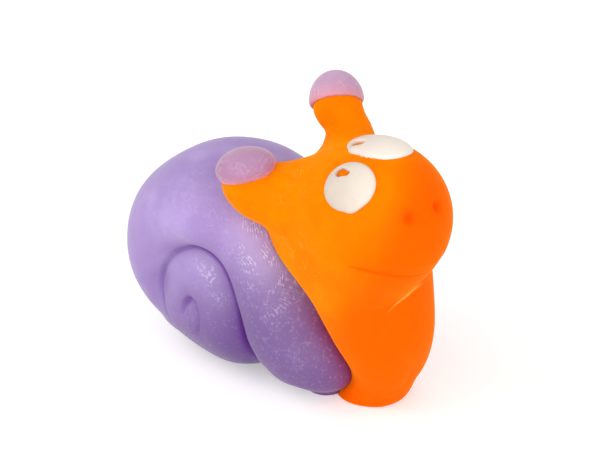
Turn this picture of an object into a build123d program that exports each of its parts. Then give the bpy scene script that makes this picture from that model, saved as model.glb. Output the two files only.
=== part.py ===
"""A snail pressed together by hand from lumps of coloured modelling clay.

X points where the snail looks, Y to its left and Z up. It is modelled round a point
on the floor under the shell's coil, and moved at the end so that the origin lies
under the middle of its bounding box.
"""
import os
from math import cos, radians, sin

from build123d import *

# Shell: the outer turn of a tapered rope, round a coil pressed from its inner turns
shell_height = 38.0
shell_width = 27.2
coil_height = 12.0
coil_width = 24.6

# Crease on both sides of the coil, between its inner turns
crease_width = 1.7
crease_depth = 0.8
crease_forward = 0.3
crease_rise = 1.7
crease_bend = 1.8
crease_inner_leg = 1.3
crease_outer_leg = 2.2

# Trunk: foot, chest, throat and neck rise in one form, which ends inside the head
trunk_height = 41.0
trunk_length = 20.0
trunk_width = 21.0
trunk_forward = 29.0

# Head
head_diameter = 24.2
head_forward = 29.4
head_side = -1.8
head_height = 36.1

# Nape: the saddle of clay between the horns
nape_diameter = 13.0
nape_height = 14.4
nape_back = 9.2
nape_left = 1.2
nape_rise = 1.8

# Horns drawn out of the head, each with a tip of another clay
near_horn_thickness = 9.6
far_horn_thickness = 8.2
near_tip_diameter = 9.5
near_tip_height = 6.2
far_tip_diameter = 8.6
far_tip_height = 8.0

# Eyes pressed on to the head, each poked once for its pupil
near_eye_diameter = 8.4
far_eye_diameter = 10.2
eye_thickness = 3.2
eye_sink = 0.7
pupil_width = 2.0
pupil_depth = 1.3

# Face
nostril_width = 1.5
nostril_depth = 0.5
mouth_width = 0.6

# Gap between lumps that lie on each other
seat_gap = 0.12

# Outer turn: turn in degrees, then distance from the coil's centre and half thickness as
# shares of the shell's height, and half width as a share of the shell's width
outer_turn_shares = [
    (-30, 0.589, 0.118, 0.206),
    (-22, 0.545, 0.176, 0.331),
    (-12, 0.466, 0.221, 0.404),
    (2, 0.390, 0.250, 0.445),
    (32, 0.389, 0.247, 0.485),
    (62, 0.453, 0.234, 0.500),
    (90, 0.458, 0.229, 0.500),
    (118, 0.400, 0.242, 0.478),
    (146, 0.326, 0.226, 0.430),
    (178, 0.262, 0.192, 0.370),
    (208, 0.225, 0.130, 0.280),
]

# Coil outline: turn in degrees and distance from its centre as a share of the shell's height
coil_outline_shares = [
    (0, 0.311),
    (30, 0.297),
    (60, 0.374),
    (85, 0.389),
    (115, 0.326),
    (140, 0.263),
    (165, 0.274),
    (188, 0.345),
    (210, 0.352),
    (240, 0.325),
    (270, 0.332),
    (300, 0.342),
    (330, 0.366),
]

# Coil levels: place across its width and scale of its outline, then how far the outline
# drifts forward and up as shares of the shell's height
coil_level_shares = [
    (-0.500, 0.28, 0.024, 0.070),
    (-0.476, 0.48, 0.021, 0.058),
    (-0.415, 0.68, 0.018, 0.045),
    (-0.285, 0.87, 0.012, 0.020),
    (0.000, 1.00, 0.000, 0.000),
    (0.285, 0.87, 0.012, 0.020),
    (0.415, 0.68, 0.018, 0.045),
    (0.476, 0.48, 0.021, 0.058),
    (0.500, 0.28, 0.024, 0.070),
]

# Trunk levels: height as a share of the trunk's height, place forward and half length as
# shares of its length, place to the side and half width as shares of its width
trunk_level_shares = [
    (0.000, -0.185, 0.270, 0.143, 0.257),
    (0.049, -0.115, 0.295, 0.171, 0.281),
    (0.146, -0.035, 0.315, 0.198, 0.303),
    (0.268, -0.005, 0.365, 0.138, 0.352),
    (0.390, -0.005, 0.420, 0.086, 0.419),
    (0.488, -0.045, 0.460, 0.043, 0.471),
    (0.585, -0.085, 0.510, -0.010, 0.519),
    (0.683, -0.150, 0.620, -0.052, 0.548),
    (0.780, -0.245, 0.660, -0.090, 0.548),
    (0.878, -0.290, 0.560, -0.086, 0.514),
    (0.951, -0.270, 0.430, -0.090, 0.430),
    (1.000, -0.230, 0.280, -0.095, 0.286),
]

# Horn stations: place from the head's centre as shares of the head's diameter, direction
# of the horn there, and half thickness as a share of the horn's thickness
near_horn_shares = [
    ((-0.22, -0.05, 0.00), (-0.86, -0.46, 0.23), 1.04),
    ((-0.39, -0.14, 0.03), (-0.86, -0.48, 0.20), 0.82),
    ((-0.54, -0.23, 0.10), (-0.80, -0.50, 0.30), 0.63),
    ((-0.67, -0.33, 0.15), (-0.55, -0.35, 0.75), 0.50),
    ((-0.73, -0.37, 0.24), (-0.28, 0.06, 0.96), 0.46),
]
far_horn_shares = [
    ((-0.22, 0.08, 0.04), (-0.40, 0.50, 0.77), 1.10),
    ((-0.35, 0.25, 0.22), (-0.55, 0.55, 0.63), 0.66),
    ((-0.46, 0.36, 0.33), (-0.60, 0.35, 0.72), 0.47),
    ((-0.53, 0.38, 0.42), (-0.50, 0.20, 0.84), 0.46),
    ((-0.58, 0.39, 0.49), (-0.50, 0.50, 0.70), 0.47),
]

# How far a horn's tip sits past the horn's end, as a share of the tip's height
tip_seat_share = 0.2

# Places on the round of the head: turn to the left of straight ahead, and rise
near_eye_place = (-87, 51)
near_pupil_place = (-109, 57)
far_eye_place = (110, 77)
far_pupil_place = (177, 74)
near_nostril_place = (-24, 29)
far_nostril_place = (6, 27)
mouth_lean = 63
mouth_turn = -13
mouth_spread = 150

head_centre = Vector(head_forward, head_side, head_height)


def around_coil(turn, distance):
    """Forward and height of a point at a turn and distance from the coil's centre."""
    angle = radians(turn)
    return distance * cos(angle), coil_height + distance * sin(angle)


def outward(turn, rise):
    """Direction out of the head at a turn and a rise."""
    level = cos(radians(rise))
    return Vector(level * cos(radians(turn)), level * sin(radians(turn)), sin(radians(rise)))


def outer_turn(grow):
    """The rope's outer turn, lofted through ovals that stand square to its path."""
    path = []
    for turn, distance, _, _ in outer_turn_shares:
        forward, up = around_coil(turn, distance * shell_height)
        path.append(Vector(forward, 0, up))
    path[0] += (path[0] - path[1]).normalized() * grow
    with BuildPart() as rope:
        for i, (_, _, thick, wide) in enumerate(outer_turn_shares):
            along = path[min(i + 1, len(path) - 1)] - path[max(i - 1, 0)]
            away = Vector(0, 1, 0).cross(along)
            with BuildSketch(Plane(origin=path[i], x_dir=away, z_dir=along)):
                Ellipse(thick * shell_height + grow, wide * shell_width + grow)
        loft()
    return rope.part


def coil(grow):
    """The inner turns pressed into one flat lump, lofted from side to side."""
    with BuildPart() as lump:
        for side, scale_share, drift, rise in coil_level_shares:
            level = side * (coil_width + 2 * grow)
            with BuildSketch(Plane(origin=(0, level, 0), x_dir=(1, 0, 0), z_dir=(0, -1, 0))):
                with BuildLine():
                    points = []
                    for turn, distance in coil_outline_shares:
                        reach = distance * shell_height * scale_share + grow
                        forward, up = around_coil(turn, reach)
                        points.append((forward + drift * shell_height, up + rise * shell_height))
                    Spline(*points, periodic=True)
                make_face()
        loft()
    return lump.part


def below_floor(drop):
    """A block under the floor, which cuts the lumps flat where they stand."""
    side = shell_height * 4
    with BuildPart() as block:
        with BuildSketch(Plane.XY.offset(-drop)):
            Rectangle(side, side)
        extrude(amount=-shell_height)
    return block.part


def shell_form(grow):
    """The whole shell without its creases, flat where it stands."""
    with BuildPart() as form:
        add(outer_turn(grow))
        add(coil(grow))
        add(below_floor(grow), mode=Mode.SUBTRACT)
    return form.part


def crease(side):
    """A hook pressed into one side of the coil, as a bent rod that lies in its face."""
    face = side * (coil_width / 2 + crease_width / 2 - crease_depth)
    with BuildPart() as rod:
        middle = (crease_forward, face, coil_height + crease_rise)
        with BuildLine(Plane(origin=middle, x_dir=(1, 0, 0), z_dir=(0, -1, 0))) as hook:
            inner_leg = Line((-crease_bend, -crease_inner_leg), (-crease_bend, 0))
            top = ThreePointArc(inner_leg @ 1, (0, crease_bend), (crease_bend, 0))
            outer_leg = Line(top @ 1, (crease_bend, -crease_outer_leg))
            JernArc(outer_leg @ 1, outer_leg % 1, crease_bend, -80)
        with BuildSketch(Plane(origin=hook.line @ 0, z_dir=hook.line % 0)):
            Circle(crease_width / 2)
        sweep()
    return rod.part


def ball(centre, axis, diameter, height):
    """A ball of clay pressed flatter along one axis."""
    with BuildPart() as lump:
        Sphere(diameter / 2, rotation=(0, 0, 180))
        scale(by=(1, 1, height / diameter))
    return Plane(origin=centre, z_dir=axis) * lump.part


def head(grow=0):
    diameter = head_diameter + 2 * grow
    return ball(head_centre, Vector(0, 0, 1), diameter, diameter)


def nape():
    """The lump that fills the saddle between the horns."""
    centre = head_centre + Vector(-nape_back, nape_left, nape_rise)
    return ball(centre, Vector(0, 0, 1), nape_diameter, nape_height)


def horn(stations, thickness, grow=0):
    """A horn drawn out of the head, thick at its root."""
    with BuildPart() as stalk:
        for place, along, half in stations:
            centre = head_centre + Vector(place) * head_diameter + Vector(along) * grow
            across = Vector(0, 1, 0).cross(Vector(along))
            with BuildSketch(Plane(origin=centre, x_dir=across, z_dir=along)):
                Circle(half * thickness + grow)
        loft()
    return stalk.part


def tip(stations, diameter, height):
    """The ball pressed over a horn's end."""
    place, along, _ = stations[-1]
    centre = head_centre + Vector(place) * head_diameter + Vector(along) * (height * tip_seat_share)
    return ball(centre, Vector(along), diameter, height)


def on_head(place, lift):
    """A point over the round of the head."""
    return head_centre + outward(*place) * (head_diameter / 2 + lift)


def eye(place, diameter):
    return ball(on_head(place, -eye_sink), outward(*place), diameter, eye_thickness)


def pupil(place):
    """The hole that a stick leaves in the face of an eye."""
    face = on_head(place, eye_thickness / 2 - eye_sink)
    return ball(face, outward(*place), pupil_width, pupil_depth * 2)


def nostril(place):
    return ball(on_head(place, 0), outward(*place), nostril_width, nostril_depth * 2)


def mouth():
    """A thin bent rod that marks the mouth round the front of the head."""
    across = outward(mouth_turn, mouth_lean - 90)
    lean = Plane(origin=head_centre, x_dir=across, z_dir=outward(mouth_turn, mouth_lean))
    with BuildPart() as rod:
        with BuildSketch(Plane.XZ.rotated((0, 0, -mouth_spread / 2))):
            with Locations((head_diameter / 2, 0)):
                Circle(mouth_width / 2)
        revolve(axis=Axis.Z, revolution_arc=mouth_spread)
    return lean * rod.part


with BuildPart() as shell:
    add(shell_form(0))
    add(crease(-1), mode=Mode.SUBTRACT)
    add(crease(1), mode=Mode.SUBTRACT)
shell.part.label = "shell"

with BuildPart() as trunk:
    for up, forward, half_long, side, half_wide in trunk_level_shares:
        place = (trunk_forward + forward * trunk_length, side * trunk_width, up * trunk_height)
        with BuildSketch(Plane(origin=place)):
            Ellipse(half_long * trunk_length, half_wide * trunk_width)
    loft()

with BuildPart() as body:
    add(trunk.part)
    add(head())
    add(nape())
    add(horn(near_horn_shares, near_horn_thickness))
    add(horn(far_horn_shares, far_horn_thickness))
    add(below_floor(0), mode=Mode.SUBTRACT)
    add(shell_form(seat_gap), mode=Mode.SUBTRACT)
    add(nostril(near_nostril_place), mode=Mode.SUBTRACT)
    add(nostril(far_nostril_place), mode=Mode.SUBTRACT)
    add(mouth(), mode=Mode.SUBTRACT)
body.part.label = "body"

with BuildPart() as horn_tip_right:
    add(tip(near_horn_shares, near_tip_diameter, near_tip_height))
    add(horn(near_horn_shares, near_horn_thickness, seat_gap), mode=Mode.SUBTRACT)
horn_tip_right.part.label = "horn_tip_right"

with BuildPart() as horn_tip_left:
    add(tip(far_horn_shares, far_tip_diameter, far_tip_height))
    add(horn(far_horn_shares, far_horn_thickness, seat_gap), mode=Mode.SUBTRACT)
horn_tip_left.part.label = "horn_tip_left"

with BuildPart() as eye_right:
    add(eye(near_eye_place, near_eye_diameter))
    add(head(seat_gap), mode=Mode.SUBTRACT)
    add(pupil(near_pupil_place), mode=Mode.SUBTRACT)
eye_right.part.label = "eye_right"

with BuildPart() as eye_left:
    add(eye(far_eye_place, far_eye_diameter))
    add(head(seat_gap), mode=Mode.SUBTRACT)
    add(pupil(far_pupil_place), mode=Mode.SUBTRACT)
eye_left.part.label = "eye_left"

# The origin goes under the middle of the whole snail
pieces = [shell, body, horn_tip_right, horn_tip_left, eye_right, eye_left]
middle = Compound([piece.part for piece in pieces]).bounding_box().center()
for piece in pieces:
    piece.part.move(Location((-middle.X, -middle.Y, 0)))

os.makedirs("parts", exist_ok=True)
export_step(shell.part, "parts/shell.step")
export_step(body.part, "parts/body.step")
export_step(horn_tip_right.part, "parts/horn_tip_right.step")
export_step(horn_tip_left.part, "parts/horn_tip_left.step")
export_step(eye_right.part, "parts/eye_right.step")
export_step(eye_left.part, "parts/eye_left.step")
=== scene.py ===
from math import cos, pi, radians, sin

import bpy
import numpy as np
from mathutils import Matrix, Vector


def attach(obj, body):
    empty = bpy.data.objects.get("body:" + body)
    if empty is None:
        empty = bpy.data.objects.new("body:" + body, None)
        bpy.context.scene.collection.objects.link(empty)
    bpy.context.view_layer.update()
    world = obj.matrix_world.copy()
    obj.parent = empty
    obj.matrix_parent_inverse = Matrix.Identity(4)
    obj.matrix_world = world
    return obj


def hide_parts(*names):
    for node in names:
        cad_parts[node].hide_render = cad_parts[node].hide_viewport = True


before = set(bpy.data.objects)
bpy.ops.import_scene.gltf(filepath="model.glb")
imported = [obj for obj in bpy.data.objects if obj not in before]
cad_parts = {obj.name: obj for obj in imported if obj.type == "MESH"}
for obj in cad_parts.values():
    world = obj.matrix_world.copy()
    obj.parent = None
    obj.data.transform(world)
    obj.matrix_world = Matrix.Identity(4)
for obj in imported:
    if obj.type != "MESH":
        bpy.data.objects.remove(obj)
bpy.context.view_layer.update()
print("frame loaded")

# Sizes are in millimetres from the floor under the shell's coil, turns in degrees.
# X points where the snail looks and Y to its left.
millimetre = 0.001
coilFoot = np.array([-11.355, 0.905, 0])   # that same point in the frame
lumpGrain = 0.3   # mesh spacing of the shell and the body
smallGrain = 0.2   # mesh spacing of the horn tips and the eyes
settled = 0.6   # how softly the clay rounds off where it rests on the floor
dice = np.random.default_rng(11)


# Clay lumps are distance fields: how far a point lies outside the skin, negative inside it

def smoothed(stations, count):
    # a smooth line through given stations
    rows = np.array(stations, float)
    ends = np.vstack([2 * rows[0] - rows[1], rows, 2 * rows[-1] - rows[-2]])
    at = np.linspace(0, len(rows) - 1, count)
    i = np.clip(at.astype(int), 0, len(rows) - 2)
    t = (at - i)[:, None]
    a, b, c, d = ends[i], ends[i + 1], ends[i + 2], ends[i + 3]
    return b + t / 2 * (c - a + t * (2 * a - 5 * b + 4 * c - d + t * (3 * (b - c) + d - a)))


def kneaded(a, b, reach):
    # two lumps pressed into one, with a fillet of about that reach
    share = np.clip(0.5 + 0.5 * (b - a) / reach, 0, 1)
    return b + (a - b) * share - reach * share * (1 - share)


def pressed(lump, tool, reach):
    # a lump with a tool's form cut out of it, with an edge rounded to about that reach
    return -kneaded(-lump, tool, reach)


def roundness(squares, fourths):
    # about how far a point lies outside a rounded form: squares sums (offset / half size) ** 2,
    # and fourths sums offset ** 2 / half size ** 4
    near = np.sqrt(squares)
    return near * (near - 1) / np.maximum(np.sqrt(fourths), 1e-6)


def ball(p, centre, across, tall=None, axis=(0, 0, 1)):
    # a ball of clay, pressed flatter or longer along one axis
    axis = np.array(axis, float) / np.linalg.norm(axis)
    tall = tall or across
    x, y, z = (p[k] - centre[k] for k in range(3))
    up = x * axis[0] + y * axis[1] + z * axis[2]
    out = np.maximum(x * x + y * y + z * z - up * up, 0)
    return roundness(out / across ** 2 + up ** 2 / tall ** 2,
                     out / across ** 4 + up ** 2 / tall ** 4)


def stalk(p, stations):
    # a finger of clay rolled along a line: each station is x, y, z and half thickness
    line = smoothed(stations, 4 * len(stations))
    bend = 0.15   # reach of the fillet from one stretch of the line to the next
    whole = None
    for (*low, thin), (*high, thick) in zip(line[:-1], line[1:]):
        low, run = np.array(low), np.array(high) - low
        at = sum((p[k] - low[k]) * run[k] for k in range(3)) / (run @ run)
        at = np.clip(at, 0, 1)
        far = np.sqrt(sum((p[k] - low[k] - at * run[k]) ** 2 for k in range(3)))
        part = far - thin - at * (thick - thin)
        whole = part if whole is None else kneaded(whole, part, bend)
    return whole


def sampleAlong(line, x, z):
    # how far along a line in the snail's middle plane a point lies, in samples
    away = (x[..., None] - line[:, 0]) ** 2 + (z[..., None] - line[:, 1]) ** 2
    i = np.argmin(away, axis=-1)
    run = np.gradient(line[:, :2], axis=0)
    pace = np.maximum((run ** 2).sum(1), 1e-9)
    step = ((x - line[i, 0]) * run[i, 0] + (z - line[i, 1]) * run[i, 1]) / pace[i]
    return i + np.clip(step, -0.6, 0.6)


def rope(p, stations, blunt):
    # stations: x, z, half thickness and half width. The ends round off over the blunt length
    x, y, z = p
    line = smoothed(stations, 200)
    run = np.gradient(line[:, :2], axis=0)
    run /= np.linalg.norm(run, axis=1)[:, None]
    samples = np.arange(len(line))
    at = sampleAlong(line, x, z)
    cx, cz, thick, wide = (np.interp(at, samples, line[:, k]) for k in range(4))
    tx, tz = (np.interp(at, samples, run[:, k]) for k in range(2))
    out = (x - cx) * tz - (z - cz) * tx
    past = np.where((at <= 0) | (at >= len(line) - 1), (x - cx) * tx + (z - cz) * tz, 0)
    return roundness(out ** 2 / thick ** 2 + y ** 2 / wide ** 2 + past ** 2 / blunt ** 2,
                     out ** 2 / thick ** 4 + y ** 2 / wide ** 4 + past ** 2 / blunt ** 4)


def handling(deep, long):
    # the soft unevenness that hands leave, as crossed waves about that long
    waves = 9
    ways = dice.normal(size=(waves, 3))
    ways *= (2 * pi / long / dice.uniform(0.7, 1.6, waves) / np.linalg.norm(ways, axis=1))[:, None]
    starts = dice.uniform(0, 2 * pi, waves)

    def dents(p):
        return deep / waves * sum(np.sin(p[0] * a + p[1] * b + p[2] * c + start)
                                  for (a, b, c), start in zip(ways, starts))
    return dents


def cellBack(cells, ways, back):
    # the cells that lie so many steps back in two ways
    cell = cells.copy()
    cell[:, ways] -= back
    return cell


def skin(name, field, low, high, grain):
    # the mesh of a field: one point in each cell that the skin crosses, then eased on to it
    axes = [np.arange(low[k], high[k] + grain, grain) for k in range(3)]
    p = (axes[0][:, None, None], axes[1][None, :, None], axes[2][None, None, :])
    deep = np.broadcast_to(field(p), [len(a) for a in axes]).astype(float)
    size = [len(a) - 1 for a in axes]
    total = np.zeros(size + [3])
    count = np.zeros(size)
    crossings = []
    for k in range(3):
        first = [slice(None)] * 3
        last = [slice(None)] * 3
        first[k], last[k] = slice(None, -1), slice(1, None)
        a, b = deep[tuple(first)], deep[tuple(last)]
        crossed = (a < 0) != (b < 0)
        i = np.argwhere(crossed)
        share = a[crossed] / (a[crossed] - b[crossed])
        spot = np.stack([axes[m][i[:, m]] for m in range(3)], 1)
        spot[:, k] += share * grain
        others = [m for m in range(3) if m != k]
        for back in ((0, 0), (1, 0), (0, 1), (1, 1)):
            cell = cellBack(i, others, back)
            held = ((cell >= 0) & (cell < size)).all(1)
            np.add.at(total, tuple(cell[held].T), spot[held])
            np.add.at(count, tuple(cell[held].T), 1)
        crossings.append((others, i, (a[crossed] < 0) == (k != 1)))
    number = np.full(size, -1)
    used = count > 0
    number[used] = np.arange(used.sum())
    points = total[used] / count[used][:, None]
    faces = []
    for others, i, outward in crossings:   # one face round each edge of the grid that is crossed
        corners = [number[tuple(cellBack(i, others, back).T)] for back in ((1, 1), (0, 1), (0, 0), (1, 0))]
        quad = np.stack(corners, 1)
        faces.append(np.where(outward[:, None], quad, quad[:, ::-1]))
    nudge = grain / 4
    leastSlope = 0.5
    for _ in range(3):
        here = field(tuple(points.T))
        slope = np.stack([(field(tuple((points + nudge * np.eye(3)[k]).T)) - here) / nudge
                          for k in range(3)], 1)
        move = here / np.maximum((slope ** 2).sum(1), leastSlope ** 2)
        points -= np.clip(move, -grain, grain)[:, None] * slope
    mesh = bpy.data.meshes.new(name)
    mesh.from_pydata(((points + coilFoot) * millimetre).tolist(), [], np.vstack(faces).tolist())
    mesh.shade_smooth()
    piece = bpy.data.objects.new(name, mesh)
    bpy.context.scene.collection.objects.link(piece)
    print(name, len(points), "points")
    return piece, points


def mark(piece, name, amounts):
    # keeps a share at each point of the mesh, for its finish
    layer = piece.data.attributes.new(name, "FLOAT", "POINT")
    layer.data.foreach_set("value", np.clip(amounts, 0, 1).astype(np.float32))


def rubbed(p, places):
    # how much of the finger ridges shows at a point, and with them the painted glints and sheen
    return sum(share * np.exp(-((p[0] - x) ** 2 + (p[1] - y) ** 2 + (p[2] - z) ** 2) / reach ** 2)
               for x, y, z, reach, share in places)


# Shell: a tapered rope of lilac clay wound once round its own rolled-up inner turns
shellClay = {
    "outerTurn": [   # turn round the coil, distance from it, half thickness, half width
        (-30, 22.4, 3.7, 3.8), (-22, 20.7, 6.7, 8.7), (-12, 17.7, 8.4, 11.0), (2, 14.8, 9.5, 12.1),
        (32, 14.8, 9.4, 13.2), (62, 17.2, 8.9, 13.6), (90, 17.4, 8.7, 13.6), (118, 15.2, 9.2, 13.0),
        (146, 12.4, 8.6, 11.7), (178, 10.0, 7.3, 10.1), (208, 8.6, 4.9, 7.6)],
    "bluntEnd": 3.5,
    "coilOutline": [   # turn and distance from the coil's middle
        (0, 11.8), (30, 11.3), (60, 14.2), (85, 14.8), (115, 12.4), (140, 10.0), (165, 10.4),
        (188, 12.4), (210, 12.4), (240, 11.8), (270, 12.3), (300, 13.5), (330, 13.9), (360, 12.0)],
    "coilHeight": 12.0, "coilHalfWidth": 12.3,
    "coilSize": 9,   # about its radius, to give its field in millimetres
    "coilEdge": 3.3, "coilEdgeUp": 1.5,   # how square the coil's edge is, and how much squarer on top
    "kneading": 3,
    "outerCrease": [   # forward, up, and how deep: the line where the outer turn lies on the coil
        (-4.6, 8.6, 0.0), (-5.8, 11.1, 0.25), (-7.2, 14.2, 0.45), (-6.9, 17.4, 0.5), (-4.6, 21.4, 0.55),
        (-1.3, 24.2, 0.7), (2.2, 25.8, 0.9), (5.2, 25.8, 1.0), (7.4, 24.0, 1.0), (8.7, 20.8, 1.0),
        (9.2, 15.6, 1.0), (9.7, 11.2, 1.1), (10.2, 7.4, 1.3), (10.4, 4.6, 1.4), (10.6, 2.0, 1.4)],
    "innerCrease": [
        (-1.6, 11.4, 0.0), (-1.5, 12.5, 0.35), (-1.1, 13.8, 0.6), (-0.1, 15.3, 0.7), (0.9, 15.4, 0.5),
        (1.7, 14.4, 0.35), (2.1, 12.4, 0.3), (1.7, 10.0, 0.4), (0.7, 9.2, 0.2), (-0.2, 9.0, 0.0)],
    # the last share here is of painted shade along the creases
    "creaseDepth": 0.6, "creaseWidth": 0.48, "creaseTint": 0.7,
    "roundDepth": 0.6, "roundWidth": 2.2,
    "flank": 5, "flankFade": 3,   # the creases begin this far from the middle, and deepen over the fade
    "dents": handling(0.5, 16),
    "handledAndGlinting": [   # where fingers pressed last, which also places painted glints and a painted pale sheen: forward, side, height, reach, share
        (11.0, -9.5, 31.0, 3.5, 1.0), (14.0, -11.0, 26.5, 3.5, 0.9), (17.0, -11.5, 20.0, 4.0, 0.4),
        (20.5, -9.5, 12.0, 5.0, 0.25), (3.5, -12.0, 22.0, 3.5, 0.7), (6.0, -12.5, 17.5, 2.5, 0.4),
        (0.0, -9.0, 34.0, 6.0, 0.3), (-9.0, -8.0, 29.0, 5.0, 0.25), (12.0, 9.5, 29.0, 5.0, 0.8),
        (3.5, 12.0, 21.0, 4.0, 0.8)],
    "seamReach": 1.7,   # how far from the body its painted seam shade and highlight show
    "seamTop": 23, "seamFade": 7,   # under the top it turns from a painted highlight to painted shade with reflected orange, over the fade
    "box": ((-20, -15, -0.6), (27, 15, 39)),
}


def creases(p):
    # how near a point is to the creases, and the swell of the rope between them
    x, y, z = p
    sharp = 0
    soft = 0
    for line in (shellClay["outerCrease"], shellClay["innerCrease"]):
        drawn = smoothed(line, 120)
        at = sampleAlong(drawn, x, z)
        samples = np.arange(len(drawn))
        cx, cz, deep = (np.interp(at, samples, drawn[:, k]) for k in range(3))
        away = (x - cx) ** 2 + (z - cz) ** 2
        sharp = np.maximum(sharp, deep * np.exp(-away / shellClay["creaseWidth"] ** 2))
        soft = np.maximum(soft, deep * np.exp(-away / shellClay["roundWidth"] ** 2))
    flank = np.clip((abs(y) - shellClay["flank"]) / shellClay["flankFade"], 0, 1)
    return sharp * flank, soft * flank


def coilLump(p):
    x, y, z = p
    outline = smoothed(shellClay["coilOutline"], 181)
    up = z - shellClay["coilHeight"]
    turn = np.degrees(np.arctan2(up, x)) % 360
    reach = np.interp(turn, outline[:, 0], outline[:, 1])
    out = np.sqrt(x * x + up * up)
    edge = shellClay["coilEdge"] + shellClay["coilEdgeUp"] * up / np.maximum(out, 0.1)
    share = (out / reach) ** edge + abs(y / shellClay["coilHalfWidth"]) ** 2
    return (np.sqrt(share) - 1) * shellClay["coilSize"]


def shellField(p):
    height = shellClay["coilHeight"]
    stations = [(far * cos(radians(turn)), height + far * sin(radians(turn)), thick, wide)
                for turn, far, thick, wide in shellClay["outerTurn"]]
    lump = kneaded(rope(p, stations, shellClay["bluntEnd"]), coilLump(p), shellClay["kneading"])
    sharp, soft = creases(p)
    lump = lump + shellClay["creaseDepth"] * sharp + shellClay["roundDepth"] * soft
    return pressed(lump + shellClay["dents"](p), p[2], settled)


shell, shellSkin = skin("lilacShell", shellField, *shellClay["box"], lumpGrain)
# painted shade along both creases of the shell
sharp, soft = creases(shellSkin.T)
mark(shell, "crease", (sharp + soft ** 3) * shellClay["creaseTint"])
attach(shell, "root")
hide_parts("shell")


# Body: head, neck and chest pressed together from orange clay, with two horns drawn out
bodyClay = {
    "chest": [   # height, forward, side, half length, half width
        (-1.0, 24.4, 3.0, 4.6, 4.6), (0.0, 25.4, 2.8, 5.4, 5.4), (2.0, 26.7, 3.6, 5.8, 5.8),
        (7.0, 28.6, 4.3, 6.3, 6.2), (14.0, 29.0, 2.2, 8.2, 8.3), (21.0, 27.9, 0.9, 9.4, 9.7),
        (28.0, 25.8, 0.0, 10.5, 11.0), (33.0, 25.0, -1.0, 9.0, 10.0), (36.0, 25.0, -1.0, 6.0, 6.5)],
    "chestTop": 34.0, "chestTopSoft": 3,
    "headCentre": (29.4, -1.8, 36.1), "headRadius": 12.1,
    "neckCentre": (20.5, -1.8, 32.5), "neckRadius": 9.4,
    "throat": [   # from the head down into the chest: forward, side, height, half thickness
        (29.4, -1.8, 36.1, 12.0), (27.8, -2.7, 30.5, 10.0), (27.6, -3.4, 25.5, 7.7),
        (29.3, -1.9, 18.0, 6.5), (29.5, 0.8, 10.0, 5.5), (28.8, 3.4, 3.0, 4.0)],
    "nearHorn": [   # stations as the throat's
        (24.1, -3.0, 36.1, 8.4), (20.0, -5.2, 37.2, 6.6), (16.3, -7.7, 38.0, 5.4),
        (13.4, -9.8, 39.0, 4.7), (12.1, -10.9, 40.4, 4.4)],
    "farHorn": [(23.5, 0.5, 37.5, 7.5), (20.5, 4.2, 41.3, 5.0), (18.2, 7.0, 44.0, 3.7)],
    "farHornEnd": [(17.2, 7.0, 45.6, 3.5), (15.5, 7.3, 47.4, 3.95)],
    "kneading": {"neck": 4, "head": 1, "farHorn": 0.5, "bothHorns": 1, "horns": 2.6},
    "chinEdge": 0.12, "chestKneading": 2.9,   # reach under the chin, and what is added behind it
    "chinFrom": 34.5, "chinFade": 4,   # how far forward the chin's edge lies, and how it fades backward
    "nostrils": [(-25.9, 27.0), (3.2, 26.4)],   # turn and rise on the head
    # the nostrils are pressed in, and painted shade lies in and round them: tint is its share
    "nostril": {"lift": 0.5, "radius": 0.85, "soft": 0.9, "tint": 0.4, "nostrilShadeReach": 0.7},
    "mouth": [   # a faint line, pressed in and painted with shade, thinner than nothing where it fades out
        (31.8, -13.7, 34.3, -0.5), (33.2, -13.3, 34.1, -0.15), (35.4, -12.2, 33.7, 0),
        (36.6, -11.3, 33.3, 0), (37.8, -9.9, 32.8, 0), (39.1, -8.0, 32.0, 0),
        (40.2, -5.6, 31.5, -0.05), (40.5, -3.9, 31.2, -0.3)],
    "chinHighlightLine": [   # a painted highlight along the thin edge under the head
        (36.2, 4.4, 24.9, -0.2), (36.7, -0.3, 25.5, -0.05), (36.5, -2.6, 25.0, 0),
        (35.8, -4.6, 24.1, -0.1), (34.7, -6.2, 22.2, -0.3), (33.9, -7.2, 20.9, -0.5)],
    "handledAndGlinting": [   # as on the shell
        (20.0, -8.0, 41.0, 4.0, 0.7), (22.0, -12.0, 33.0, 4.0, 0.7), (27.0, -13.0, 31.0, 4.0, 0.4),
        (30.0, 0.0, 48.0, 3.0, 0.5), (24.0, -10.0, 22.0, 4.0, 0.5)],
    "dents": handling(0.35, 14),
    "shellGap": 0.03,
    "seamShadeAndTintReach": 0.8, "seamShadeAndTint": 0.5,   # painted shade on the body beside the shell
    "box": ((5, -16, -0.6), (43, 15, 54)),
}


def outward(turn, rise):
    # the way from the head's middle, turned from straight ahead and raised from level
    level = cos(radians(rise))
    return np.array([level * cos(radians(turn)), level * sin(radians(turn)), sin(radians(rise))])


def onHead(turn, rise, lift=0):
    return bodyClay["headCentre"] + outward(turn, rise) * (bodyClay["headRadius"] + lift)


def headBall(p):
    return ball(p, bodyClay["headCentre"], bodyClay["headRadius"])


def chestLump(p):
    x, y, z = p
    levels = smoothed(bodyClay["chest"], 150)
    forward, side, long, wide = (np.interp(z, levels[:, 0], levels[:, k]) for k in range(1, 5))
    x, y = x - forward, y - side
    flat = roundness(x ** 2 / long ** 2 + y ** 2 / wide ** 2, x ** 2 / long ** 4 + y ** 2 / wide ** 4)
    return pressed(flat, bodyClay["chestTop"] - z, bodyClay["chestTopSoft"])


def hornsLump(p):
    reach = bodyClay["kneading"]
    far = kneaded(stalk(p, bodyClay["farHorn"]), stalk(p, bodyClay["farHornEnd"]), reach["farHorn"])
    return kneaded(stalk(p, bodyClay["nearHorn"]), far, reach["bothHorns"])


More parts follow.
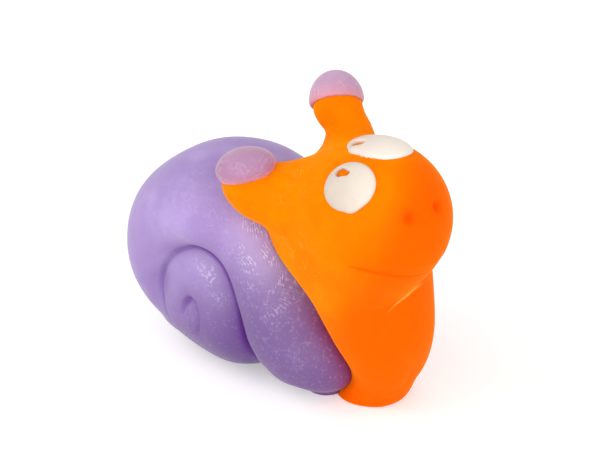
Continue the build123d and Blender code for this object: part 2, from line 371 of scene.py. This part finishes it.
def bodyLump(p):
    # the chin stands off the chest in front, and everything else flows together
    reach = bodyClay["kneading"]
    neck = ball(p, bodyClay["neckCentre"], bodyClay["neckRadius"])
    trunk = kneaded(stalk(p, bodyClay["throat"]), neck, reach["neck"])
    trunk = kneaded(trunk, headBall(p), reach["head"])
    behind = np.clip((bodyClay["chinFrom"] - p[0]) / bodyClay["chinFade"], 0, 1)
    trunk = kneaded(trunk, chestLump(p), bodyClay["chinEdge"] + bodyClay["chestKneading"] * behind)
    return kneaded(trunk, hornsLump(p), reach["horns"]) + bodyClay["dents"](p)


def bodyField(p):
    whole = np.maximum(bodyLump(p), bodyClay["shellGap"] - shellField(p))
    tool = bodyClay["nostril"]
    for place in bodyClay["nostrils"]:
        whole = pressed(whole, ball(p, onHead(*place, tool["lift"]), tool["radius"]), tool["soft"])
    return pressed(whole, p[2], settled)


body, bodySkin = skin("orangeBody", bodyField, *bodyClay["box"], lumpGrain)
# the mouth line, pressed in and painted with shade
mark(body, "mouth", 1 - stalk(bodySkin.T, bodyClay["mouth"]))
# a painted highlight along the chin's edge
mark(body, "rim", 1 - stalk(bodySkin.T, bodyClay["chinHighlightLine"]))
# painted shade in and round the nostrils
tool = bodyClay["nostril"]
nostrilShade = sum(np.exp(-ball(bodySkin.T, onHead(*place), 1) / tool["nostrilShadeReach"])
                  for place in bodyClay["nostrils"])
mark(body, "crease", nostrilShade * tool["tint"])
mark(body, "handledAndGlinting", rubbed(bodySkin.T, bodyClay["handledAndGlinting"]))
# painted shade on the body where it lies against the shell
besideShell = np.exp(-np.maximum(shellField(bodySkin.T), 0) / bodyClay["seamShadeAndTintReach"])
mark(body, "seamShadeAndTint", besideShell * bodyClay["seamShadeAndTint"])
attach(body, "root")
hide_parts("body")

# The shell's side of the same seam: painted shade with painted reflected orange low down, and a painted
# highlight higher up
lowDown = np.clip((shellClay["seamTop"] - shellSkin[:, 2]) / shellClay["seamFade"], 0, 1)
seam = np.exp(-np.maximum(bodyLump(shellSkin.T), 0) / shellClay["seamReach"])
# painted shade with painted reflected orange on the shell low along the seam
mark(shell, "seamShadeAndTint", lowDown * seam)
# finger ridges with painted glints and sheen, and a painted highlight along the seam's upper part
mark(shell, "handledAndGlinting", rubbed(shellSkin.T, shellClay["handledAndGlinting"]) + (1 - lowDown) * seam)


room = 6.5   # half the side of the box that holds a horn tip or an eye

# Horn tips: balls of pink clay pressed on to the ends of the horns
tips = {   # across and tall are half sizes, and the flat underside lies that far under the centre
    "nearTip": {
        "node": "horn_tip_right", "centre": (11.3, -10.8, 43.0), "axis": (-0.285, 0.06, 0.96),
        "across": 4.75, "tall": 3.1, "under": 3.0},
    "farTip": {
        "node": "horn_tip_left", "centre": (14.95, 7.95, 48.1), "axis": (-0.50, 0.50, 0.70),
        "across": 4.4, "tall": 5.0, "under": 0.7},
}
tipPress = {"rim": 0.8, "hornGap": 0.02, "seamShadeAndTintReach": 1.1, "handledAndGlinting": 0.5}


def tipLump(p, made):
    # a ball whose underside is pressed flat round the horn
    axis = np.array(made["axis"]) / np.linalg.norm(made["axis"])
    above = made["under"] + sum((p[k] - made["centre"][k]) * axis[k] for k in range(3))
    lump = ball(p, made["centre"], made["across"], made["tall"], axis)
    lump = pressed(lump, above, tipPress["rim"])
    return np.maximum(lump, tipPress["hornGap"] - hornsLump(p) - bodyClay["dents"](p))


for name, made in tips.items():
    low = np.array(made["centre"]) - room
    tip, points = skin(name, lambda p: tipLump(p, made), low, low + 2 * room, smallGrain)
    # a salmon tone on the tip near the horn
    mark(tip, "seamShadeAndTint", 1 - hornsLump(points.T) / tipPress["seamShadeAndTintReach"])
    mark(tip, "handledAndGlinting", np.full(len(points), tipPress["handledAndGlinting"]))
    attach(tip, "root")
    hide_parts(made["node"])
    made["piece"] = tip


# Eyes: white discs pressed on to the head, poked for the pupils
eyes = {   # place, holes and corner are a turn and a rise on the head, and across and thick half sizes
    "nearEye": {
        "node": "eye_right", "place": (-84.8, 50.2), "lift": -0.5, "across": 4.1, "thick": 1.6,
        "holes": [(-101, 56, 0.75), (-93, 57, 0.45)], "corner": (-75, 35.5, 0.7)},
    "farEye": {
        "node": "eye_left", "place": (104, 79), "lift": -1.15, "across": 5.2, "thick": 2.0,
        "holes": [(-172, 76.5, 0.9)], "corner": (-138, 75, 0.5)},
}
eyePress = {"cornerSoft": 1.2, "holeFrom": -1, "holeTo": 3, "holeFlare": 1.2, "holeSoft": 0.4,
            "headGap": 0.06, "handledAndGlinting": 0.4}


def eyeLump(p, made):
    # a disc drawn out to a blunt corner, with its pupil poked right through
    centre = onHead(*made["place"], made["lift"])
    disc = ball(p, centre, made["across"], made["thick"], outward(*made["place"]))
    turn, rise, thick = made["corner"]
    disc = kneaded(disc, ball(p, onHead(turn, rise), thick), eyePress["cornerSoft"])
    for turn, rise, wide in made["holes"]:
        stick = [(*onHead(turn, rise, eyePress["holeFrom"]), wide),
                 (*onHead(turn, rise, eyePress["holeTo"]), wide * eyePress["holeFlare"])]
        disc = pressed(disc, stalk(p, stick), eyePress["holeSoft"])
    return np.maximum(disc, eyePress["headGap"] - headBall(p))


for name, made in eyes.items():
    low = onHead(*made["place"]) - room
    eye, points = skin(name, lambda p: eyeLump(p, made), low, low + 2 * room, smallGrain)
    mark(eye, "handledAndGlinting", np.full(len(points), eyePress["handledAndGlinting"]))
    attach(eye, "root")
    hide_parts(made["node"])
    made["piece"] = eye


class Wire:
    # an output socket, which Python's own operators work on
    def __init__(self, nodes, socket):
        self.nodes = nodes
        self.socket = socket

    def math(self, operation, *values):
        return self.nodes.node("Math", {"operation": operation}, dict(enumerate(values)))

    def __add__(self, other):
        return self.math("ADD", self, other)

    def __sub__(self, other):
        return self.math("SUBTRACT", self, other)

    def __rsub__(self, other):
        return self.math("SUBTRACT", other, self)

    def __mul__(self, other):
        return self.math("MULTIPLY", self, other)

    __radd__ = __add__
    __rmul__ = __mul__


class Nodes:
    # the nodes of one material, or of the world
    def __init__(self, owner):
        owner.use_nodes = True
        self.tree = owner.node_tree
        self.tree.nodes.clear()

    def node(self, kind, settings, sockets, output=0):
        made = self.tree.nodes.new("ShaderNode" + kind)
        for key, value in settings.items():
            setattr(made, key, value)
        for key, value in sockets.items():
            if isinstance(value, Wire):
                self.tree.links.new(value.socket, made.inputs[key])
            else:
                made.inputs[key].default_value = value
        return Wire(self, made.outputs[output]) if made.outputs else made

    def place(self):
        # where a point lies in the frame, in millimetres
        spot = self.node("TexCoord", {}, {}, "Object")
        return self.node("VectorMath", {"operation": "SCALE"}, {0: spot, "Scale": 1 / millimetre})

    def noise(self, spot, long, detail=2):
        return self.node("TexNoise", {}, {"Vector": spot, "Scale": 1 / long, "Detail": detail})

    def step(self, value, low, high):
        # rises smoothly from 0 to 1 between two values
        smooth = {"interpolation_type": "SMOOTHSTEP"}
        return self.node("MapRange", smooth, {"Value": value, 1: low, 2: high})

    def patches(self, spot, long, low, high, detail=2):
        return self.step(self.noise(spot, long, detail), low, high)

    def blend(self, share, a, b):
        # sockets 6 and 7 and output 2 are the Mix node's colours
        return self.node("Mix", {"data_type": "RGBA"}, {0: share, 6: a, 7: b}, 2)

    def share(self, name):
        return self.node("Attribute", {"attribute_name": name}, {}, "Fac")

    def alongside(self, spot, way):
        return self.node("VectorMath", {"operation": "DOT_PRODUCT"}, {0: spot, 1: way}, "Value")

    def looked(self):
        # rays that show the backdrop itself, straight or by way of a shiny or clear thing
        camera, glossy, through = (self.node("LightPath", {}, {}, f"Is {kind} Ray")
                                   for kind in ("Camera", "Glossy", "Transmission"))
        return camera.math("MAXIMUM", camera.math("MAXIMUM", camera, glossy), through)


def colour(*screen):
    # from the values that a screen shows to the ones that light works with
    return (*[(c / 255 / 12.92 if c <= 10 else ((c / 255 + 0.055) / 1.055) ** 2.4) for c in screen], 1)


# Finishes. Tones are as a screen shows them. The side tone is painted shading, which comes in between
# the two distances given, in millimetres of the frame along the given way: painted shade low down and
# toward the front of the shell and at the bottom of the horn tips, a redder tone toward the muzzle and
# chest that is partly the clay's own and partly painted shade, and painted light toward the front and
# left of the eyes. The crease tone is painted shade in the creases, the nostrils and the mouth. The seam
# tone is painted shade where the body and shell meet, with painted reflected orange on the shell, and on
# the horn tips the salmon tone near the horns. The shares of glint flecks, specks and painted sheen are
# shares of the fleck tone: the flecks are painted glints on the finger ridges, the specks are pale specks
# and pits, and the sheen is a painted pale sheen where the clay was handled. ridges is how high the
# finger ridges stand. weight, scatter and depth say how light soaks in.
clays = {
    "shellFinish": {
        "pieces": [shell],
        "tones": {"main": (154, 128, 186), "pale": (170, 148, 201), "side": (108, 80, 137),
                  "fleck": (208, 194, 228), "seamShadeAndTint": (132, 34, 98), "crease": (96, 34, 140)},
        "shadingWay": (0.9, 0.0, -1.0), "shadingFrom": -43, "shadingTo": -11,
        "glintFlecks": 0.55, "specks": 0.16, "paintedSheen": 0.24, "ridges": 0.022,
        "rough": 0.5, "shine": 0.3, "sheen": 0.17, "edge": (0.92, 0.86, 1, 1),
        "weight": 0.35, "scatter": (0.9, 0.6, 1.0), "depth": 0.0016},
    "bodyFinish": {
        "pieces": [body],
        "tones": {"main": (255, 116, 0), "pale": (255, 129, 0), "side": (255, 96, 0),
                  "fleck": (255, 185, 80), "seamShadeAndTint": (255, 104, 0), "crease": (255, 70, 0)},
        "shadingWay": (0.9, 0.5, -0.45), "shadingFrom": -5, "shadingTo": 5,
        "glintFlecks": 0.35, "specks": 0.0, "paintedSheen": 0, "ridges": 0.018,
        "rough": 0.5, "shine": 0.01, "sheen": 0.3, "edge": (1, 0.55, 0.02, 1),
        "weight": 0.5, "scatter": (1.0, 0.35, 0.05), "depth": 0.003},
    "tipFinish": {
        "pieces": [made["piece"] for made in tips.values()],
        "tones": {"main": (178, 140, 171), "pale": (192, 158, 187), "side": (162, 114, 151),
                  "fleck": (236, 208, 230), "seamShadeAndTint": (208, 132, 140)},
        "shadingWay": (0, 0, -1), "shadingFrom": -50, "shadingTo": -43,
        "glintFlecks": 0.3, "specks": 0.05, "paintedSheen": 0, "ridges": 0.02,
        "rough": 0.40, "shine": 0.45, "sheen": 0.25, "edge": (1, 0.8, 0.86, 1),
        "weight": 0.4, "scatter": (1.0, 0.5, 0.6), "depth": 0.002},
    "eyeFinish": {
        "pieces": [made["piece"] for made in eyes.values()],
        "tones": {"main": (194, 181, 169), "pale": (201, 189, 178), "side": (236, 224, 212),
                  "fleck": (242, 229, 215)},
        "shadingWay": (0.8, 0.6, 0), "shadingFrom": 6, "shadingTo": 18,
        "glintFlecks": 0.15, "specks": 0.05, "paintedSheen": 0, "ridges": 0.011,
        "rough": 0.5, "shine": 0.2, "sheen": 0.0, "edge": (1, 1, 1, 1),
        "weight": 0.3, "scatter": (1.0, 0.7, 0.5), "depth": 0.001},
}
# What every clay shows, in millimetres. Patches say how long they are, the noise at which they start
# and fill, and sometimes its detail.
claySkin = {
    "tonePatches": (8, 0.35, 0.7, 3),
    "mottlePatches": (0.9, 0.35, 0.65), "mottle": 0.35,
    "ridgeWay": (0.75, 0.55, 0.3), "ridgeGap": 0.5, "whorl": 7, "whorlBend": 9,
    "ridgePatches": (2.4, 0.4, 0.62),
    "fleck": 0.5, "fleckFrom": 0.5, "fleckTo": 0.66, "fleckOnRidge": 0.1,
    "speck": 0.65, "speckFrom": 0.1, "speckTo": 0.5, "speckPatches": (1.3, 0.36, 0.64),
    "specksAnywhere": 0.25, "specksOnSide": 0.7,
    # painted shade in the creases and along the mouth, and a painted highlight along the chin's edge
    "creaseTint": 0.85,
    "mouthFrom": 0.5, "mouthTo": 0.85, "mouthShade": 0.45, "mouthDepth": 0.12,
    "chinHighlightFrom": 0.6, "chinHighlightTo": 1, "chinHighlightTint": 0.75,
    "rubbedPatches": (5, 0.45, 0.6), "rubbed": 0.35, "handledAndGlinting": 1.6,
    "grain": 0.4, "grainDetail": 3, "grainHeight": 0.03, "speckHeight": 0.03,
    "glossPatch": 2, "glossChange": 0.15, "glossMiddle": 0.07, "sheenRough": 0.4,
}
for name, made in clays.items():
    material = bpy.data.materials.new(name)
    clay = Nodes(material)
    spot = clay.place()
    handledAndGlinting = clay.share("handledAndGlinting")
    tones = {key: colour(*screen) for key, screen in made["tones"].items()}
    tint = clay.blend(clay.patches(spot, *claySkin["tonePatches"]), tones["main"], tones["pale"])
    mottle = clay.patches(spot, *claySkin["mottlePatches"]) * (made["specks"] * claySkin["mottle"])
    tint = clay.blend(mottle, tint, tones["side"])
    # painted shading: the side tone comes in toward one side of each piece, as the finishes above say
    side = clay.step(clay.alongside(spot, made["shadingWay"]), made["shadingFrom"], made["shadingTo"])
    tint = clay.blend(side, tint, tones["side"])
    # painted shade by the seams, with painted reflected orange on the shell; on the horn tips, a salmon
    # tone near the horns
    if "seamShadeAndTint" in tones:
        tint = clay.blend(clay.share("seamShadeAndTint"), tint, tones["seamShadeAndTint"])

    # finger ridges run in whorls and are broken into short bright flecks, which are painted glints
    bend = clay.noise(spot, claySkin["whorl"], 1) * claySkin["whorlBend"]
    whorl = clay.alongside(spot, claySkin["ridgeWay"]) + bend
    ridge = clay.node("Math", {"operation": "SINE"}, {0: whorl * (2 * pi / claySkin["ridgeGap"])})
    patch = clay.patches(spot, *claySkin["ridgePatches"])
    broken = ridge * claySkin["fleckOnRidge"] + clay.noise(spot, claySkin["fleck"], 1)
    fleck = clay.step(broken, claySkin["fleckFrom"], claySkin["fleckTo"]) * patch * handledAndGlinting
    # painted glints on the flecks, and a painted pale sheen where the clay was handled
    tint = clay.blend(fleck * made["glintFlecks"] + handledAndGlinting * made["paintedSheen"], tint, tones["fleck"])

    # small specks and pits everywhere, most of them on the side tone
    cell = clay.node("TexVoronoi", {}, {"Vector": spot, "Scale": 1 / claySkin["speck"]})
    speck = 1 - clay.step(cell, claySkin["speckFrom"], claySkin["speckTo"])
    speck = speck * clay.patches(spot, *claySkin["speckPatches"])
    speck = speck * (side * side * claySkin["specksOnSide"] + claySkin["specksAnywhere"])
    tint = clay.blend(speck * made["specks"], tint, tones["fleck"])

    rubs = clay.patches(spot, *claySkin["rubbedPatches"]) * claySkin["rubbed"]
    shown = handledAndGlinting * claySkin["handledAndGlinting"] + rubs
    grain = clay.noise(spot, claySkin["grain"], claySkin["grainDetail"]) * claySkin["grainHeight"]
    height = ridge * patch * shown * made["ridges"] + grain + speck * claySkin["speckHeight"]
    if "crease" in tones:   # only the two big lumps have lines pressed into them
        # painted shade in the creases, the nostrils and the mouth line, and a painted highlight along the
        # chin's edge
        mouth = clay.step(clay.share("mouth"), claySkin["mouthFrom"], claySkin["mouthTo"])
        rim = clay.step(clay.share("rim"), claySkin["chinHighlightFrom"], claySkin["chinHighlightTo"])
        tint = clay.blend(clay.share("crease") * claySkin["creaseTint"], tint, tones["crease"])
        tint = clay.blend(mouth * claySkin["mouthShade"], tint, tones["crease"])
        tint = clay.blend(rim * claySkin["chinHighlightTint"], tint, tones["fleck"])
        height = height - mouth * claySkin["mouthDepth"]
    bump = clay.node("Bump", {}, {"Strength": 1, "Distance": millimetre, "Height": height})
    gloss = clay.noise(spot, claySkin["glossPatch"]) * claySkin["glossChange"]
    rough = gloss + (made["rough"] - claySkin["glossMiddle"])
    skinShader = clay.node("BsdfPrincipled", {}, {
        "Base Color": tint, "Roughness": rough, "Normal": bump, "Specular IOR Level": made["shine"],
        "Sheen Weight": made["sheen"], "Sheen Roughness": claySkin["sheenRough"],
        "Sheen Tint": made["edge"], "Subsurface Weight": made["weight"],
        "Subsurface Radius": made["scatter"], "Subsurface Scale": made["depth"]})
    clay.node("OutputMaterial", {}, {"Surface": skinShader})
    for piece in made["pieces"]:
        piece.data.materials.append(material)
print("finishes made")


# Studio: pale floor and surround, soft lamps from the left, the front and the right, in metres
studio = {
    "floorSize": 4.0, "paper": (0.80, 0.79, 0.77, 1), "glow": 0.31, "surround": 0.92,
    "aimHeight": 25,   # the lamps look at this height over the coil's foot, in millimetres
    "lamps": [
        {"place": (-0.35, -0.45, 0.6), "size": 0.5, "power": 2.1},
        {"place": (0.0, -0.6, 0.12), "size": 0.5, "power": 1.3},
        {"place": (0.55, -0.3, 0.32), "size": 0.45, "power": 2.1}],
}
bpy.ops.mesh.primitive_plane_add(size=studio["floorSize"])
floor = bpy.context.object
floor.name = "floor"
material = bpy.data.materials.new("paper")
paper = Nodes(material)
matt = paper.node("BsdfDiffuse", {}, {"Color": studio["paper"]})
glow = paper.node("Emission", {}, {"Color": (1, 1, 1, 1), "Strength": paper.looked() * studio["glow"]})
paper.node("OutputMaterial", {}, {"Surface": paper.node("AddShader", {}, {0: matt, 1: glow})})
floor.data.materials.append(material)

world = bpy.data.worlds.new("surround")
bpy.context.scene.world = world
air = Nodes(world)
strength = air.looked() * (1 - studio["surround"]) + studio["surround"]
air.node("OutputWorld", {}, {"Surface": air.node("Background", {}, {"Strength": strength})})

middle = Vector(coilFoot + (0, 0, studio["aimHeight"])) * millimetre
for i, lamp in enumerate(studio["lamps"]):
    data = bpy.data.lights.new(f"softbox{i}", "AREA")
    data.size = lamp["size"]
    data.energy = lamp["power"]
    box = bpy.data.objects.new(f"softbox{i}", data)
    box.location = lamp["place"]
    box.rotation_mode = "QUATERNION"
    box.rotation_quaternion = (middle - box.location).to_track_quat("-Z", "Y")
    bpy.context.scene.collection.objects.link(box)
print("studio lit")

# Camera: from the snail's right front and above
camera = {
    "turn": 37, "rise": 30, "lens": 127.06,
    "distance": 0.360, "nearest": 0.01,   # in metres
    "target": (-11.955, 0.905, 19),   # in the frame, in millimetres
    "slide": (12.333, 3.25),   # right and up from the target, to frame the snail as in the photograph
}
turn, rise = radians(camera["turn"]), radians(camera["rise"])
back = Vector((sin(turn) * cos(rise), -cos(turn) * cos(rise), sin(rise)))
right = Vector((cos(turn), sin(turn), 0))
up = back.cross(right)
aim = (Vector(camera["target"]) + right * camera["slide"][0] + up * camera["slide"][1]) * millimetre
data = bpy.data.cameras.new("camera")
data.lens = camera["lens"]
data.clip_start = camera["nearest"]
eyepiece = bpy.data.objects.new("camera", data)
eyepiece.matrix_world = Matrix((right, up, back)).transposed().to_4x4()
eyepiece.location = aim + back * camera["distance"]
bpy.context.scene.collection.objects.link(eyepiece)
bpy.context.scene.camera = eyepiece
bpy.context.scene.view_settings.view_transform = "Standard"
